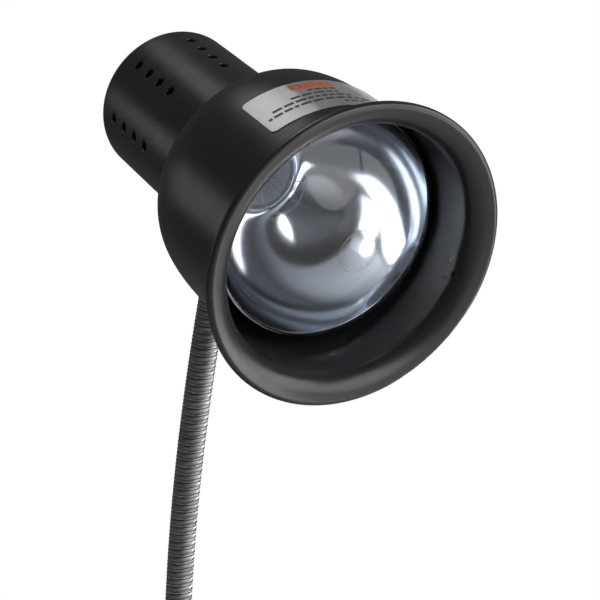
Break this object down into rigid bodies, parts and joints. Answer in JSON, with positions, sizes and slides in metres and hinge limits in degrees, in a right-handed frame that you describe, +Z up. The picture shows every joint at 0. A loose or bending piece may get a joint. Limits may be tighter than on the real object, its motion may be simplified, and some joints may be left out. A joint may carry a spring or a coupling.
{
  "type": "heat lamp warmer",
  "caption": "Food-warming heat lamp: weighted round base with rocker switch, ribbed steel gooseneck, vented lampholder housing and flared bell shade with a silvered reflector bulb.",
  "frame": {"origin": "centre of the underside of the base pad, on the surface that the lamp stands on", "axes": "+Z up, +X the way the head faces, +Y to the lamp's left"},
  "size_m": [0.3148, 0.2286, 0.5836],
  "materials": {
    "black_powder_coat": "satin powder coat with a fine even texture",
    "gooseneck_steel": "ribbed flexible steel tube, gunmetal lacquer worn brighter on the crests",
    "zinc_plated_steel": "zinc-plated, satin",
    "cast_iron": "rough as-cast, black primed",
    "brass": "plain brass, lightly dulled",
    "black_plastic": "moulded nylon, fine matt grain",
    "rocker_plastic": "moulded, semi-gloss",
    "rubber_pad": "ribbed non-slip rubber",
    "porcelain": "glazed white porcelain",
    "bulb_silvering": "vacuum-deposited aluminium seen through glass",
    "bulb_glass": "clear, smooth",
    "label_foil": "satin silver foil, printed with plain bars",
    "tungsten": "dull coiled wire",
    "black_wire": "fibreglass sleeved",
    "white_wire": "fibreglass sleeved",
    "green_wire": "fibreglass sleeved"
  },
  "bodies": {
    "base": {"base_pad": "rubber_pad", "bottom_plate": "zinc_plated_steel", "base_weight": "cast_iron", "base_shell": "black_powder_coat", "base_screw_1": "zinc_plated_steel", "base_screw_2": "zinc_plated_steel", "base_screw_3": "zinc_plated_steel", "base_screw_4": "zinc_plated_steel", "cord_gland": "black_plastic", "gland_nut": "black_plastic", "line_lead": "black_wire", "switched_lead": "black_wire", "neutral_lead": "white_wire", "earth_lead": "green_wire", "earth_screw": "zinc_plated_steel", "switch_body": "black_plastic", "switch_blade_1": "brass", "switch_blade_2": "brass", "rocker_pin": "zinc_plated_steel", "neck_collar": "black_powder_coat", "lower_ferrule": "black_powder_coat", "lower_lock_nut": "zinc_plated_steel", "neck_segment_1": "gooseneck_steel"},
    "neck_2": {"neck_segment_2": "gooseneck_steel"},
    "neck_3": {"neck_segment_3": "gooseneck_steel"},
    "neck_4": {"neck_segment_4": "gooseneck_steel"},
    "neck_5": {"neck_segment_5": "gooseneck_steel"},
    "neck_6": {"neck_segment_6": "gooseneck_steel"},
    "neck_7": {"neck_segment_7": "gooseneck_steel"},
    "head": {"neck_segment_8": "gooseneck_steel", "upper_ferrule": "black_powder_coat", "neck_saddle": "black_powder_coat", "upper_lock_nut": "zinc_plated_steel", "socket_housing": "black_powder_coat", "shade": "black_powder_coat", "shade_screw_1": "zinc_plated_steel", "shade_screw_2": "zinc_plated_steel", "shade_screw_3": "zinc_plated_steel", "foil_label": "label_foil", "socket_body": "porcelain", "socket_shell": "brass", "socket_contact": "brass", "socket_bracket": "zinc_plated_steel", "socket_screw_1": "zinc_plated_steel", "socket_screw_2": "zinc_plated_steel", "rear_screw_1": "black_powder_coat", "rear_screw_2": "black_powder_coat", "terminal_screw_1": "brass", "terminal_screw_2": "brass", "head_lead_1": "black_wire", "head_lead_2": "white_wire"},
    "rocker": {"switch_rocker": "rocker_plastic"},
    "bulb": {"bulb_reflector": "bulb_silvering", "bulb_face": "bulb_glass", "bulb_base_shell": "brass", "bulb_insulator": "black_plastic", "bulb_contact": "zinc_plated_steel", "bulb_stem": "bulb_glass", "bulb_filament": "tungsten"}
  },
  "joints": [
    {"name": "neck_nod_1", "type": "hinge", "parent": "base", "child": "neck_2", "pos_m": [-0.05, 0, 0.09365], "axis": [0, 1, 0], "range_deg": [-12, 12]},
    {"name": "neck_sway_1", "type": "hinge", "parent": "neck_2", "child": "neck_3", "pos_m": [-0.05, 0, 0.1469], "axis": [1, 0, 0], "range_deg": [-14, 14]},
    {"name": "neck_nod_2", "type": "hinge", "parent": "neck_3", "child": "neck_4", "pos_m": [-0.04941, 0, 0.20014], "axis": [0, 1, 0], "range_deg": [-12, 12]},
    {"name": "neck_sway_2", "type": "hinge", "parent": "neck_4", "child": "neck_5", "pos_m": [-0.04453, 0, 0.25315], "axis": [0.9908, 0, -0.1351], "range_deg": [-14, 14]},
    {"name": "neck_nod_3", "type": "hinge", "parent": "neck_5", "child": "neck_6", "pos_m": [-0.03525, 0, 0.30557], "axis": [0, 1, 0], "range_deg": [-14, 14]},
    {"name": "neck_sway_3", "type": "hinge", "parent": "neck_6", "child": "neck_7", "pos_m": [-0.02226, 0, 0.3572], "axis": [0.9615, 0, -0.2746], "range_deg": [-14, 14]},
    {"name": "neck_nod_4", "type": "hinge", "parent": "neck_7", "child": "head", "pos_m": [-0.00622, 0, 0.40797], "axis": [0, 1, 0], "range_deg": [-14, 14]},
    {"name": "rocker_tilt", "type": "hinge", "parent": "base", "child": "rocker", "pos_m": [0.06, 0, 0.0298], "axis": [0, 1, 0], "range_deg": [0, 24]},
    {"name": "bulb_unscrew", "type": "slide", "parent": "head", "child": "bulb", "axis": [0.9357, 0.0145, -0.3524], "range_m": [0, 0.026]}
  ],
  "couplings": [
    {"joint": "neck_nod_2", "follows": "neck_nod_1", "ratio": 1},
    {"joint": "neck_nod_4", "follows": "neck_nod_3", "ratio": 1},
    {"joint": "neck_sway_1", "follows": "neck_sway_2", "ratio": 1},
    {"joint": "neck_sway_3", "follows": "neck_sway_2", "ratio": 1}
  ]
}
